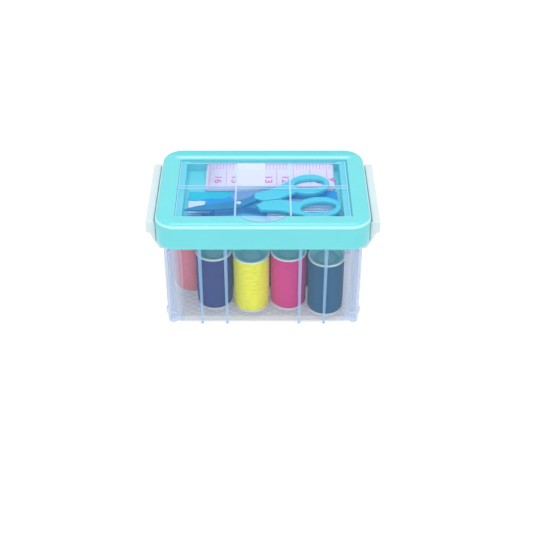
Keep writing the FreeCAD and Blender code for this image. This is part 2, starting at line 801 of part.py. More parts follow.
def blade_outline(side):
    """One blade and its tang. side is 1 for the half whose handle is on the far side."""
    width = BLADE_HALF_WIDTH
    tang = TANG_LENGTH
    points = [
        (-blade_length, -0.15 * width),
        (-0.76 * blade_length, -0.7 * width),
        (-0.2 * blade_length, -width),
        (0, -0.95 * width),
        (0.15 * tang, -0.6 * width),
        (0.58 * tang, 0.57 * width),
        (tang, 1.19 * width),
        (0.96 * tang, 1.8 * width),
        (0.42 * tang, 1.52 * width),
        (0.1 * tang, 0.8 * width),
        (-0.17 * tang, 0.45 * width),
        (-0.6 * blade_length, 0.15 * width),
    ]
    return [(x, side * y) for x, y in points]


def blade(side, z_low):
    solid = flat_outline(blade_outline(side), z_low, z_low + BLADE_THICKNESS)
    clearance = RUNNING_CLEARANCE if side > 0 else 0.0
    hole = upright_cylinder(0, 0, RIVET_RADIUS + clearance, z_low - PAST, z_low + BLADE_THICKNESS + PAST)
    return solid.cut(hole)


def ellipse(radii, centre_y, z_low, z_high):
    curve = Part.Ellipse(Vector(PIVOT_TO_RING, centre_y, z_low), radii[0], radii[1])
    face = Part.Face(Part.Wire(curve.toShape()))
    return face.extrude(Vector(0, 0, z_high - z_low))


def handle(side, ring, hole, offset, tang):
    """A ring and its shank round the tang of one blade, with its outer edges rounded."""
    width = BLADE_HALF_WIDTH
    outline = [
        (0.4 * TANG_LENGTH, 0.81 * width),
        (0.46 * TANG_LENGTH, 2.05 * width),
        (0.92 * TANG_LENGTH, 2.67 * width),
        (PIVOT_TO_RING - 0.72 * ring[0], offset + 0.66 * ring[1]),
        (PIVOT_TO_RING - 0.5 * ring[0], offset - 0.55 * ring[1]),
        (TANG_LENGTH, 0.12 * width),
        (0.6 * TANG_LENGTH, 0.08 * width),
    ]
    shank = flat_outline([(x, side * y) for x, y in outline], handle_bottom, handle_top)
    loop = ellipse(ring, side * offset, handle_bottom, handle_top)
    solid = shank.fuse(loop).removeSplitter()
    opening = ellipse(hole, side * offset, handle_bottom - PAST, handle_top + PAST)
    solid = solid.cut(opening)
    rims = edges_at_height(solid, handle_bottom) + edges_at_height(solid, handle_top)
    solid = solid.makeFillet(HANDLE_FILLET, rims)
    return solid.cut(tang)


def make_rivet():
    shaft_low = lower_blade_z - RIVET_HEAD_CLEARANCE - RIVET_HEAD_HEIGHT
    shaft_high = upper_blade_z + BLADE_THICKNESS + RIVET_HEAD_CLEARANCE + RIVET_HEAD_HEIGHT
    shaft = upright_cylinder(0, 0, RIVET_RADIUS, shaft_low, shaft_high)
    heads = [
        upright_cylinder(0, 0, RIVET_HEAD_RADIUS, shaft_low, shaft_low + RIVET_HEAD_HEIGHT),
        upright_cylinder(0, 0, RIVET_HEAD_RADIUS, shaft_high - RIVET_HEAD_HEIGHT, shaft_high),
    ]
    return shaft.fuse(heads)


def save_scissors():
    lower = blade(-1, lower_blade_z)
    upper = blade(1, upper_blade_z)
    near = handle(-1, NEAR_RING, NEAR_HOLE, NEAR_RING_OFFSET, lower)
    far = handle(1, FAR_RING, FAR_HOLE, FAR_RING_OFFSET, upper)
    save(placed(lower), "scissors_blade_lower")
    save(placed(upper), "scissors_blade_upper")
    save(placed(near), "scissors_handle_near")
    save(placed(far), "scissors_handle_far")
    save(placed(make_rivet()), "scissors_rivet")
    print("scissors pivot", round(scissors_x, 3), round(scissors_y, 3), round(blade_length, 2))


def main():
    os.makedirs("parts", exist_ok=True)
    save(make_box_body(), "box_body")
    save(make_lid(), "lid")
    save(make_window_cover(), "window_cover")
    latch = right_latch()
    save(latch.mirror(Vector(0, 0, 0), Vector(1, 0, 0)), "latch_left")
    save(latch, "latch_right")
    for name, x, y in spool_places():
        save(bobbin(x, y), "bobbin_" + name)
        save(winding(x, y), "thread_" + name)
    save(make_tape(), "tape_measure")
    save(make_band(), "tape_band")
    save(make_card(), "needle_card")
    save(make_pocket(), "needle_pocket")
    save(make_needles(), "needles")
    save_scissors()
    print("cover hinge", hinge_y, hinge_z, "latch pivot", pivot_x, pivot_z)


main()
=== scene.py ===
"""Thread spool storage box: its windings, printed tape, needle card, finishes and studio."""

import math
import random

import bmesh
import bpy
from bpy.props import FloatProperty, FloatVectorProperty, IntProperty, PointerProperty
from mathutils import Matrix, Vector


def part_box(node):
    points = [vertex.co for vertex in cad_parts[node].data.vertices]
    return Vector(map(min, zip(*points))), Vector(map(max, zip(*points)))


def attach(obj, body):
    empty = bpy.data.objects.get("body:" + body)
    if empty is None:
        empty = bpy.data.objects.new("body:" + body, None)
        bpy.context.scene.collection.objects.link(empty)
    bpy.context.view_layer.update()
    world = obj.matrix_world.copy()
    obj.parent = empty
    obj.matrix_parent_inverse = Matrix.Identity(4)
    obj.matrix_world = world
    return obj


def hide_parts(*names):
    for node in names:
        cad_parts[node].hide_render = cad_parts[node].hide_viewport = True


bl_info = {
    "name": "Thread Spool Storage Box",
    "version": (1, 0, 0),
    "blender": (4, 5, 0),
    "location": "3D View > Sidebar > Spool Box",
    "description": "Windings, printed tape, needle card and finishes for a clear sewing box",
    "category": "Object",
}

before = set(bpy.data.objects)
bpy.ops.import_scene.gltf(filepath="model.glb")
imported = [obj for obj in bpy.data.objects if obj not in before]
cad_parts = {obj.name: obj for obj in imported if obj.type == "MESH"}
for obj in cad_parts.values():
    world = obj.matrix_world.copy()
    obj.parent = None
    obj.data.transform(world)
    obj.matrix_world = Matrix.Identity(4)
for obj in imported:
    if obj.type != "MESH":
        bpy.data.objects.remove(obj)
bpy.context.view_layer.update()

MM = 0.001
THREADS = ("navy", "yellow", "pink", "teal", "salmon", "grey", "purple", "violet")


def colour_property(name, description, linear):
    """A colour that a user can change, with linear values."""
    return FloatVectorProperty(
        name=name, description=description, subtype="COLOR", size=3, min=0, max=1, default=linear
    )


def length_property(name, description, millimetres):
    """A length that a user can change."""
    return FloatProperty(
        name=name, description=description, unit="LENGTH", default=millimetres * MM, precision=5
    )


# ------------------------ sizes and colours


class SpoolBoxSizes(bpy.types.PropertyGroup):
    """Lengths and counts"""

    thread_pitch: length_property("Thread pitch", "Height of one turn of thread on a spool", 0.46)
    thread_ridge: length_property("Thread ridge", "How far a turn stands out of the winding", 0.11)
    thread_wander: length_property("Thread wander", "How unevenly the turns lie", 0.05)
    dish_depth: length_property("Dish depth", "Depth of the dish in a spool's top", 2.6)
    dish_slope: length_property("Dish slope", "How far in the dish's side slopes", 2.2)
    lip_width: length_property("Lip width", "Width of the flat lip of a spool's flange", 0.85)
    winding_steps: IntProperty(name="Winding steps", description="Faces round a winding", default=56, min=12)
    tape_thickness: length_property("Tape thickness", "Thickness of the tape measure's strip", 0.25)
    tape_layers: IntProperty(name="Tape layers", description="Layers in the rolled tape", default=10, min=2)
    print_lift: length_property("Print lift", "How far ink stands off what it is printed on", 0.015)
    tick_width: length_property("Tick width", "Width of a line printed on the tape", 0.26)
    number_height: length_property("Number height", "Height of the tape's numbers", 4.3)
    number_stretch: FloatProperty(
        name="Number stretch",
        description="Width of the numbers against plain lettering",
        default=1.45,
        min=0.5,
    )
    tape_rise: length_property("Tape rise", "How far the roll's back edge stands up", 1.9)
    rise_width: length_property("Rise width", "Width of the raised back edge", 3.8)
    hatch_pitch: length_property("Hatch pitch", "Distance between the diamond lines of the floor", 7.0)


class SpoolBoxColours(bpy.types.PropertyGroup):
    """Colours, with linear values"""

    lid: colour_property("Lid", "Turquoise of the lid and its tray", (0.165, 0.69, 0.74))
    # Painted shade on the lid's top behind its painted back highlight line.
    lid_painted_shade: colour_property("Lid shade", "The lid's top behind its back crest", (0.105, 0.645, 0.70))
    # Painted shadow of the gap at the cover's right edge, on the lid beside it.
    lid_gap_shadow: colour_property("Lid gap", "Lid beside the gap at the cover's right edge", (0.02, 0.44, 0.50))
    # Painted highlight along the lid's rounded top edge.
    lid_edge_highlight: colour_property("Lid edge", "Where light gathers in the lid's rounded edge", (0.62, 0.97, 0.97))
    clear: colour_property("Clear plastic", "Haze of the clear box", (0.42, 0.57, 0.84))
    # The clear floor's haze, darkened as painted shade for the box's shadow on the ground under it.
    box_floor_shade: colour_property("Box floor", "Haze of the clear floor", (0.42, 0.48, 0.62))
    # Painted highlight and painted shade on the two sides of the floor's diamond lines.
    ridge: colour_property("Floor ridge", "Bright side of the floor's diamond lines", (0.90, 0.93, 1.0))
    groove_shade: colour_property("Floor groove", "Dark side of the floor's diamond lines", (0.14, 0.16, 0.26))
    post: colour_property("Corner post", "Haze of the clear corner posts", (0.60, 0.74, 0.96))
    rib: colour_property("Rib", "Where the clear box is thick", (0.36, 0.60, 0.92))
    cover: colour_property("Cover", "Haze of the clear cover", (0.14, 0.50, 0.96))
    cover_edge: colour_property("Cover edge", "Edges and ribs of the clear cover", (0.50, 0.75, 1.0))
    latch: colour_property("Latch", "White of the two latches", (0.66, 0.77, 0.80))
    bobbin: colour_property("Bobbin", "White of the spools' lower flange", (0.84, 0.88, 0.92))
    bobbin_lip: colour_property("Bobbin lip", "Pale upper lip of the spools", (0.80, 0.94, 0.95))
    # Painted shade in the dish of a spool's top, tinted green as if lit through the turquoise lid, paler on
    # the hub.
    bobbin_dish_shade: colour_property("Bobbin web", "Green of the dish in a spool's top", (0.27, 0.70, 0.76))
    bobbin_hub_shade: colour_property("Bobbin hub", "Paler disc in the middle of the dish", (0.36, 0.72, 0.78))
    tape: colour_property("Tape", "White of the tape measure", (0.84, 0.76, 0.92))
    ink: colour_property("Ink", "Print on the tape measure", (0.72, 0.07, 0.42))
    band: colour_property("Band", "Paper band round the tape", (0.88, 0.83, 0.90))
    card: colour_property("Card", "Ground of the needle card", (0.0, 0.32, 0.76))
    handle: colour_property("Handles", "Scissors handles", (0.05, 0.61, 0.74))
    blade: colour_property("Blades", "Scissors blades", (0.03, 0.27, 0.52))
    needle: colour_property("Needles", "Needle steel", (0.80, 0.80, 0.82))
    navy: colour_property("Navy thread", "First spool of the front row", (0.020, 0.045, 0.22))
    yellow: colour_property("Yellow thread", "Second spool of the front row", (1.0, 1.0, 0.002))
    pink: colour_property("Pink thread", "Third spool of the front row", (0.74, 0.015, 0.24))
    teal: colour_property("Teal thread", "Fourth spool of the front row", (0.0, 0.11, 0.22))
    salmon: colour_property("Salmon thread", "Spool at the left of the second row", (0.90, 0.26, 0.30))
    grey: colour_property("Grey thread", "Spool behind the navy one", (0.44, 0.70, 0.68))
    purple: colour_property("Purple thread", "Spool behind the yellow one", (0.04, 0.05, 0.24))
    violet: colour_property("Violet thread", "Spool behind the pink one", (0.06, 0.06, 0.24))


def sizes():
    """The lengths and counts that a user can change."""
    return bpy.context.scene.spool_box_sizes


def colours():
    """The colours that a user can change."""
    return bpy.context.scene.spool_box_colours


def opaque(colour):
    """A colour with a full alpha."""
    return (*colour, 1.0)


# ------------------------ node helpers


def fill(tree, socket, value):
    """Links a socket to another one, or gives it a plain value."""
    if isinstance(value, bpy.types.NodeSocket):
        tree.links.new(value, socket)
    else:
        socket.default_value = value


def add(tree, kind, inputs=None, **settings):
    """Adds a node, sets its settings, and fills or links its inputs."""
    made = tree.nodes.new(kind)
    for name, value in settings.items():
        setattr(made, name, value)
    for name, value in (inputs or {}).items():
        fill(tree, made.inputs[name], value)
    return made


def maths(tree, operation, first, second=0.0, clamp=False):
    """The result of an operation on two values."""
    return add(
        tree, "ShaderNodeMath", {0: first, 1: second}, operation=operation, use_clamp=clamp
    ).outputs[0]


def plus(tree, first, *others):
    """The sum of two values or more."""
    for value in others:
        first = maths(tree, "ADD", first, value)
    return first


def minus(tree, first, second):
    """The first value less the second."""
    return maths(tree, "SUBTRACT", first, second)


def times(tree, first, *others, clamp=False):
    """The product of two values or more."""
    for value in others:
        first = maths(tree, "MULTIPLY", first, value, clamp)
    return first


def most(tree, first, *others):
    """The greatest of two values or more."""
    for value in others:
        first = maths(tree, "MAXIMUM", first, value)
    return first


def above(tree, value, limit):
    """One where a value is over a limit, and zero elsewhere."""
    return maths(tree, "GREATER_THAN", value, limit)


def below(tree, value, limit):
    """One where a value is under a limit, and zero elsewhere."""
    return maths(tree, "LESS_THAN", value, limit)


def within(tree, value, middle, reach):
    """One where a value lies within reach of the middle, and zero elsewhere."""
    return add(tree, "ShaderNodeMath", {0: value, 1: middle, 2: reach}, operation="COMPARE").outputs[0]


def spread(tree, value, low, high, new_low, new_high):
    """Maps a value from one range to another."""
    return add(
        tree,
        "ShaderNodeMapRange",
        {"Value": value, "From Min": low, "From Max": high, "To Min": new_low, "To Max": new_high},
    ).outputs[0]


def hill(tree, value, start, crest, end, foot, height=1.0):
    """Rises from zero at the start to a height at the crest, stays, and falls to zero from end to foot."""
    rise = spread(tree, value, start, crest, 0.0, height)
    return times(tree, rise, spread(tree, value, end, foot, 1.0, 0.0))


def place_of(tree):
    """Where a point of the piece lies."""
    return add(tree, "ShaderNodeTexCoord").outputs["Object"]


def split(tree, vector):
    """The three parts of a vector, by the names X, Y and Z."""
    return add(tree, "ShaderNodeSeparateXYZ", {0: vector}).outputs


def joined(tree, x, y):
    """A flat vector from two values."""
    return add(tree, "ShaderNodeCombineXYZ", {"X": x, "Y": y}).outputs[0]


def upright_of(tree):
    """How far a surface faces up, from minus one to one."""
    return split(tree, add(tree, "ShaderNodeTexCoord").outputs["Normal"])["Z"]


def noise(tree, vector, scale, detail=2.0, distortion=0.0):
    """An uneven pattern from zero to one."""
    return add(
        tree,
        "ShaderNodeTexNoise",
        {"Vector": vector, "Scale": scale, "Detail": detail, "Distortion": distortion},
    ).outputs["Fac"]


def relief(tree, strength, depth, height):
    """The normal of a surface with a fine relief."""
    return add(
        tree, "ShaderNodeBump", {"Strength": strength, "Distance": depth, "Height": height}
    ).outputs["Normal"]


def tinted(tree, colour, amount):
    """A colour made darker or lighter by an amount that varies over the surface."""
    return add(
        tree, "ShaderNodeVectorMath", {0: colour, "Scale": amount}, operation="SCALE"
    ).outputs["Vector"]


def blended(tree, factor, first, second):
    """One colour turning into another as the factor goes from 0 to 1."""
    made = add(tree, "ShaderNodeMix", data_type="RGBA")
    for index, value in ((0, factor), (6, first), (7, second)):
        fill(tree, made.inputs[index], value)
    return made.outputs[2]


def new_group(name, inputs, outputs):
    """An empty node group with named sockets, and the values that go into it."""
    group = bpy.data.node_groups.new(name, "ShaderNodeTree")
    for label, kind, value in inputs:
        socket = group.interface.new_socket(label, in_out="INPUT", socket_type="NodeSocket" + kind)
        socket.default_value = value
    for label, kind in outputs:
        group.interface.new_socket(label, in_out="OUTPUT", socket_type="NodeSocket" + kind)
    return group, add(group, "NodeGroupInput").outputs


def put_out(group, *values):
    """Links what a group works out to its outputs, in their order."""
    add(group, "NodeGroupOutput", dict(enumerate(values)))


def use_group(tree, name, inputs):
    """Places a shared effect in a material with its own values."""
    made = add(tree, "ShaderNodeGroup", node_tree=bpy.data.node_groups[name])
    for label, value in inputs.items():
        fill(tree, made.inputs[label], value)
    return made.outputs


def finish_of(name, plain):
    """A material with its plain shader values set."""
    material = bpy.data.materials.new(name)
    material.use_nodes = True
    shader = material.node_tree.nodes["Principled BSDF"]
    for label, value in plain.items():
        shader.inputs[label].default_value = value
    return material, material.node_tree, shader


def coat_with(tree, shader, name, inputs):
    """Feeds a shader from a shared effect that gives a colour, a roughness and a relief."""
    effect = use_group(tree, name, inputs)
    for label, socket in (("Color", "Base Color"), ("Roughness", "Roughness"), ("Normal", "Normal")):
        tree.links.new(effect[label], shader.inputs[socket])


# ------------------------ shared effects


FINISH_OUTPUTS = (("Color", "Color"), ("Roughness", "Float"), ("Normal", "Vector"))
PLAIN_COLOUR = ("Color", "Color", (0.5, 0.5, 0.5, 1))


def make_moulded_group():
    """Moulded plastic: cloudy colour, a fine grain and faint rubbed patches."""
    inputs = (
        PLAIN_COLOUR,
        ("Cloudiness", "Float", 0.05),
        ("Grain", "Float", 0.12),
        ("Polish", "Float", 0.25),
    )
    group, given = new_group("Moulded plastic", inputs, FINISH_OUTPUTS)
    place = place_of(group)
    cloud = noise(group, place, scale=38.0, detail=3.0)
    low = minus(group, 1.0, given["Cloudiness"])
    high = plus(group, 1.0, given["Cloudiness"])
    shade = spread(group, cloud, 0.3, 0.7, low, high)
    rubbed = noise(group, place, scale=160.0, detail=4.0, distortion=1.5)
    worn = spread(group, rubbed, 0.45, 0.7, 0.0, 0.03)
    grain = noise(group, place, scale=2600.0)
    put_out(
        group,
        tinted(group, given["Color"], shade),
        plus(group, given["Polish"], worn),
        relief(group, given["Grain"], 0.02 * MM, grain),
    )


def make_thread_group():
    """Wound thread: turns of slightly different shade, crossings and the twist of the yarn."""
    inputs = (
        PLAIN_COLOUR,
        ("Centre", "Vector", (0, 0, 0)),
        ("Contrast", "Float", 0.2),
        ("Radius", "Float", 0.0104),
    )
    group, given = new_group("Wound thread", inputs, FINISH_OUTPUTS)
    place = add(
        group, "ShaderNodeVectorMath", {0: place_of(group), 1: given["Centre"]}, operation="SUBTRACT"
    ).outputs[0]
    parts = split(group, place)
    angle = maths(group, "ARCTAN2", parts["X"], times(group, parts["Y"], -1.0))
    along = times(group, angle, given["Radius"])
    height = parts["Z"]
    # the streaks of both patterns are long round the spool, and those of the crossings also lean
    turns = joined(group, times(group, along, 0.14), height)
    lean = plus(group, height, times(group, along, 0.09))
    crossings = joined(group, times(group, along, 0.2), lean)
    shade = noise(group, turns, scale=1500.0)
    cross = noise(group, crossings, scale=1700.0, distortion=0.3)
    mixed = plus(group, times(group, shade, 0.5), times(group, cross, 0.5))
    dark = minus(group, 1.0, given["Contrast"])
    light = plus(group, 1.0, given["Contrast"])
    amount = spread(group, mixed, 0.43, 0.57, dark, light)
    slant = plus(group, along, times(group, height, 0.7))
    twist = maths(group, "SINE", times(group, slant, 21000.0))
    fibre = noise(group, place, scale=6000.0)
    raised_fibre = plus(group, times(group, twist, 0.25), fibre, cross)
    put_out(
        group,
        tinted(group, given["Color"], amount),
        spread(group, fibre, 0.3, 0.7, 0.45, 0.7),
        relief(group, 0.5, 0.08 * MM, raised_fibre),
    )


def make_paper_group():
    """Paper and coated cloth: fibres, soft stains and a fine woven relief."""
    inputs = (
        PLAIN_COLOUR,
        ("Weave", "Float", 0.0),
        ("Soiling", "Float", 0.03),
        ("Polish", "Float", 0.5),
    )
    group, given = new_group("Paper and cloth", inputs, FINISH_OUTPUTS)
    place = place_of(group)
    parts = split(group, place)
    warp, weft = (maths(group, "SINE", times(group, parts[way], 15000.0)) for way in "XY")
    woven = times(group, warp, weft, given["Weave"])
    fibres = noise(group, place, scale=3200.0, detail=4.0, distortion=0.8)
    stain = noise(group, place, scale=90.0, detail=3.0)
    low = minus(group, 1.0, given["Soiling"])
    shade = spread(group, plus(group, stain, times(group, fibres, 0.3)), 0.4, 0.9, low, 1.02)
    put_out(
        group,
        tinted(group, given["Color"], shade),
        plus(group, given["Polish"], times(group, fibres, 0.15)),
        relief(group, 0.3, 0.05 * MM, plus(group, fibres, woven)),
    )


def make_steel_group():
    """Ground steel: fine lines along the piece and slight changes of tone."""
    inputs = (PLAIN_COLOUR, ("Turn", "Float", 0.0), ("Polish", "Float", 0.25))
    group, given = new_group("Ground steel", inputs, FINISH_OUTPUTS)
    turned = add(
        group,
        "ShaderNodeVectorRotate",
        {"Vector": place_of(group), "Angle": given["Turn"]},
        rotation_type="Z_AXIS",
    ).outputs[0]
    stretched = add(
        group, "ShaderNodeVectorMath", {0: turned, 1: (0.04, 1.0, 1.0)}, operation="MULTIPLY"
    ).outputs[0]
    lines = noise(group, stretched, scale=5200.0)
    tone = noise(group, turned, scale=120.0)
    shade = spread(group, tone, 0.3, 0.7, 0.9, 1.08)
    put_out(
        group,
        tinted(group, given["Color"], shade),
        plus(group, given["Polish"], times(group, lines, 0.18)),
        relief(group, 0.25, 0.02 * MM, lines),
    )


def thick_places(group, given, parts, across, depth):
    """Where clear plastic is thick: its ribs, rim, side edges, front edge and tab, and the tab itself."""
    ribs = above(group, depth, given["Rib depth"])
    ribs = times(group, ribs, below(group, across, given["Post X"]))
    rim = above(group, parts["Z"], given["Rib top"])
    sides = above(group, across, given["Side"])
    edge_end = plus(group, given["Front edge"], given["Edge width"])
    tab = below(group, parts["Y"], given["Front edge"])
    front_line = minus(group, below(group, parts["Y"], edge_end), tab)
    from_tab = joined(group, parts["X"], minus(group, parts["Y"], given["Tab centre"]))
    reach = add(group, "ShaderNodeVectorMath", {0: from_tab}, operation="LENGTH").outputs["Value"]
    tab_line = times(group, tab, above(group, reach, given["Tab radius"]))
    return most(group, ribs, rim, sides, front_line, tab_line), tab


def corner_places(group, given, parts, across, depth):
    """How much a corner post shows: a haze that grows outwards, and a line that grows upwards."""
    past = minus(group, across, given["Corner X"])
    deep = above(group, depth, given["Post Y"])
    corner = times(group, above(group, past, 0.0), deep)
    haze = times(group, spread(group, past, 0.0, 3 * MM, 0.15, 1.0), corner)
    rising = spread(group, parts["Z"], 18 * MM, 34 * MM, 0.0, 0.9)
    line = times(group, corner, below(group, past, given["Corner line"]), rising)
    return corner, plus(group, haze, line)


def diamond_lines(group, given, parts, corner, low):
    """Where painted highlight and painted shade lie on the bright and dark sides of the diamond lines that
    cross the upper face of a floor.
    """
    deepest = minus(group, given["Floor"], given["Floor depth"])
    upper = times(group, above(group, upright_of(group), 0.5), above(group, parts["Z"], deepest))
    level = times(group, low, upper, minus(group, 1.0, corner))
    bright = []
    dark = []
    for operation in ("ADD", "SUBTRACT"):
        run = maths(group, operation, parts["X"], times(group, parts["Y"], 1.6))
        turn = maths(group, "FRACT", maths(group, "DIVIDE", run, given["Hatch pitch"]))
        bright.append(hill(group, turn, 0.40, 0.48, 0.50, 0.51))
        dark.append(hill(group, turn, 0.50, 0.51, 0.53, 0.62))
    return [times(group, most(group, *sides), level) for sides in (bright, dark)]


def make_thick_plastic_group():
    """Clear plastic: ribs, edges and posts, where it is thick, and the relief of the diamond floor, with
    painted highlight and painted shade on its lines.
    """
    inputs = (
        ("Rib depth", 1.0),
        ("Rib top", 1.0),
        ("Side", 1.0),
        ("Front edge", -1.0),
        ("Edge width", 0.4 * MM),
        ("Tab centre", 0.0),
        ("Tab radius", 1.0),
        ("Corner X", 1.0),
        ("Corner line", 0.0),
        ("Post X", 1.0),
        ("Post Y", 1.0),
        ("End wall", 1.0),
        ("Hatch pitch", 7 * MM),
        ("Floor", -1.0),
        ("Floor depth", 0.5 * MM),
    )
    outputs = ("Thick", "Tab", "Corner", "Post", "End", "Floor", "Ridge", "Groove", "Height")
    group, given = new_group(
        "Thick plastic",
        [(label, "Float", value) for label, value in inputs],
        [(label, "Float") for label in outputs],
    )
    place = place_of(group)
    parts = split(group, place)
    across = maths(group, "ABSOLUTE", parts["X"])
    depth = maths(group, "ABSOLUTE", parts["Y"])
    thick, tab = thick_places(group, given, parts, across, depth)
    corner, corner_look = corner_places(group, given, parts, across, depth)
    low = below(group, parts["Z"], given["Floor"])
    ridge, groove_shade = diamond_lines(group, given, parts, corner, low)
    flow = noise(group, place, scale=55.0, detail=3.0, distortion=0.5)
    results = {
        "Thick": thick,
        "Tab": tab,
        "Corner": corner_look,
        "Post": times(group, above(group, across, given["Post X"]), above(group, depth, given["Post Y"])),
        "End": above(group, across, given["End wall"]),
        "Floor": low,
        "Ridge": ridge,
        "Groove": groove_shade,
        "Height": plus(group, minus(group, ridge, groove_shade), times(group, flow, 0.5)),
    }
    add(group, "NodeGroupOutput", results)


# ------------------------ finishes


# Where the lid's painted highlights and painted shade lie, from the middle of the box.
LID_EDGE_DEPTH = 5 * MM
BACK_HIGHLIGHT_DEPTH = 0.6 * MM
BACK_HIGHLIGHT_RISE = (28.0 * MM, 29.4 * MM)
BACK_HIGHLIGHT_FALL = (30.8 * MM, 32.2 * MM)
BACK_HIGHLIGHT_ENDS = (50 * MM, 54 * MM)
SHADE_RISE = (32.0 * MM, 34.2 * MM)
GAP_X = 50.05 * MM
GAP_SHADOW_HALF_WIDTH = 0.35 * MM
WINDOW_Y = -2.3 * MM
WINDOW_HALF_LENGTH = 30 * MM

# The bobbin's hub, from the top of its flange.
HUB_DROP = 1.9 * MM
HUB_TOLERANCE = 0.1 * MM
LIP_DROP = 0.05 * MM


def finish_from(name, effect, inputs, plain):
    """A material whose colour, roughness and relief come from a shared effect."""
    material, tree, shader = finish_of(name, plain)
    coat_with(tree, shader, effect, inputs)
    return material


def moulded_finish(name, colour, cloudiness, polish, **plain):
    """Moulded plastic of one colour."""
    inputs = {"Color": opaque(colour), "Cloudiness": cloudiness, "Polish": polish, "Grain": 0.03}
    return finish_from(name, "Moulded plastic", inputs, {"IOR": 1.5, **plain})


def lid_finish():
    """Turquoise plastic with a painted highlight along the rounded edge of its top and a painted highlight
    line near the back, painted shade behind that line, and a painted shadow beside the gap at the cover's
    right edge.
    """
    values = {
        "IOR": 1.5,
        "Specular IOR Level": 0.4,
        "Subsurface Weight": 0.25,
        "Subsurface Scale": 0.003,
        "Subsurface Radius": (0.3, 1.0, 1.0),
    }
    material, tree, shader = finish_of("lid_plastic", values)
    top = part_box("lid")[1].z
    parts = split(tree, place_of(tree))
    near_top = above(tree, parts["Z"], top - LID_EDGE_DEPTH)
    # edge: a painted highlight in the rounded edge all round the top
    edge = times(tree, hill(tree, upright_of(tree), 0.12, 0.36, 0.50, 0.74, height=0.68), near_top)
    # crest: a painted highlight line across the back of the top, standing in for light off a rounded rim
    crest = hill(tree, parts["Y"], *BACK_HIGHLIGHT_RISE, *BACK_HIGHLIGHT_FALL, height=0.5)
    crest = times(tree, crest, above(tree, parts["Z"], top - BACK_HIGHLIGHT_DEPTH))
    across = maths(tree, "ABSOLUTE", parts["X"])
    crest = times(tree, crest, spread(tree, across, *BACK_HIGHLIGHT_ENDS, 1.0, 0.0))
    # painted shade on the top behind the highlight line, as if the top tilted back there
    painted_back_shade = times(tree, spread(tree, parts["Y"], *SHADE_RISE, 0.0, 1.0), near_top)
    # gap and beside: a painted shadow along the gap at the right edge of the cover
    gap = within(tree, parts["X"], GAP_X, GAP_SHADOW_HALF_WIDTH)
    beside = times(tree, gap, within(tree, parts["Y"], WINDOW_Y, WINDOW_HALF_LENGTH), near_top)
    tone = blended(tree, painted_back_shade, opaque(colours().lid), opaque(colours().lid_painted_shade))
    tone = blended(tree, beside, tone, opaque(colours().lid_gap_shadow))
    tone = blended(tree, most(tree, edge, crest), tone, opaque(colours().lid_edge_highlight))
    values = {"Color": tone, "Cloudiness": 0.015, "Polish": 0.2, "Grain": 0.03}
    coat_with(tree, shader, "Moulded plastic", values)
    return material


def paper_finish(name, colour, weave, polish, specular=0.5):
    """Paper, card or coated cloth of one colour."""
    inputs = {"Color": opaque(colour), "Weave": weave, "Polish": polish}
    return finish_from(name, "Paper and cloth", inputs, {"Specular IOR Level": specular})


def steel_finish(name, colour, turn, polish):
    """Steel whose ground lines run at an angle to the X axis."""
    inputs = {"Color": opaque(colour), "Turn": turn, "Polish": polish}
    return finish_from(name, "Ground steel", inputs, {"Metallic": 1.0})


def clear_finish(name, colour, thick_colour, haze, edge, hazes=(), marks=(), specular=0.5):
    """Clear plastic: what is behind shows through, less so at glancing angles and where it is thick."""
    material, tree, shader = finish_of(
        name, {"Roughness": 0.09, "IOR": 1.5, "Specular IOR Level": specular}
    )
    body = use_group(tree, "Thick plastic", {"Hatch pitch": sizes().hatch_pitch, **dict(marks)})
    tone = opaque(colour)
    # The floor's haze is darkened as painted shade, and the floor's diamond lines get a painted highlight and
    # painted shade.
    for label, other in (
        ("Floor", colours().box_floor_shade),
        ("Corner", colours().post),
        ("Post", colours().post),
        ("Groove", colours().groove_shade),
        ("Ridge", colours().ridge),
        ("Tab", thick_colour),
        ("Thick", thick_colour),
    ):
        tone = blended(tree, body[label], tone, opaque(other))
    tree.links.new(tone, shader.inputs["Base Color"])
    facing = add(tree, "ShaderNodeLayerWeight", {"Blend": 0.5}).outputs["Facing"]
    glancing = maths(tree, "POWER", facing, 2.6)
    solid = plus(tree, times(tree, glancing, edge), haze)
    for label, amount in dict(hazes).items():
        solid = plus(tree, solid, times(tree, body[label], amount))
    shadow = add(tree, "ShaderNodeLightPath").outputs["Is Shadow Ray"]
    lit = minus(tree, 1.0, times(tree, shadow, 0.75))
    tree.links.new(times(tree, solid, lit, clamp=True), shader.inputs["Alpha"])
    tree.links.new(relief(tree, 0.35, 0.25 * MM, body["Height"]), shader.inputs["Normal"])
    return material


def bobbin_finish():
    """Spool plastic: white below, and at the top a pale lip round a dish painted with green shade, as of
    light through the turquoise lid, paler on the hub.
    """
    material, tree, shader = finish_of("bobbin_plastic", {"IOR": 1.5})
    low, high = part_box("bobbin_yellow")
    height = split(tree, place_of(tree))["Z"]
    upper = above(tree, height, (low.z + high.z) / 2)
    sunk = below(tree, height, high.z - LIP_DROP)
    dish = times(tree, upper, sunk, above(tree, upright_of(tree), 0.3))
    hub = within(tree, height, high.z - HUB_DROP, HUB_TOLERANCE)
    # painted shade of the dish, tinted as of light through the lid
    painted_dish_shade = blended(tree, hub, opaque(colours().bobbin_dish_shade), opaque(colours().bobbin_hub_shade))
    ends = blended(tree, upper, opaque(colours().bobbin), opaque(colours().bobbin_lip))
    whole = blended(tree, dish, ends, painted_dish_shade)
    values = {"Color": whole, "Cloudiness": 0.06, "Polish": 0.28, "Grain": 0.05}
    coat_with(tree, shader, "Moulded plastic", values)
    return material


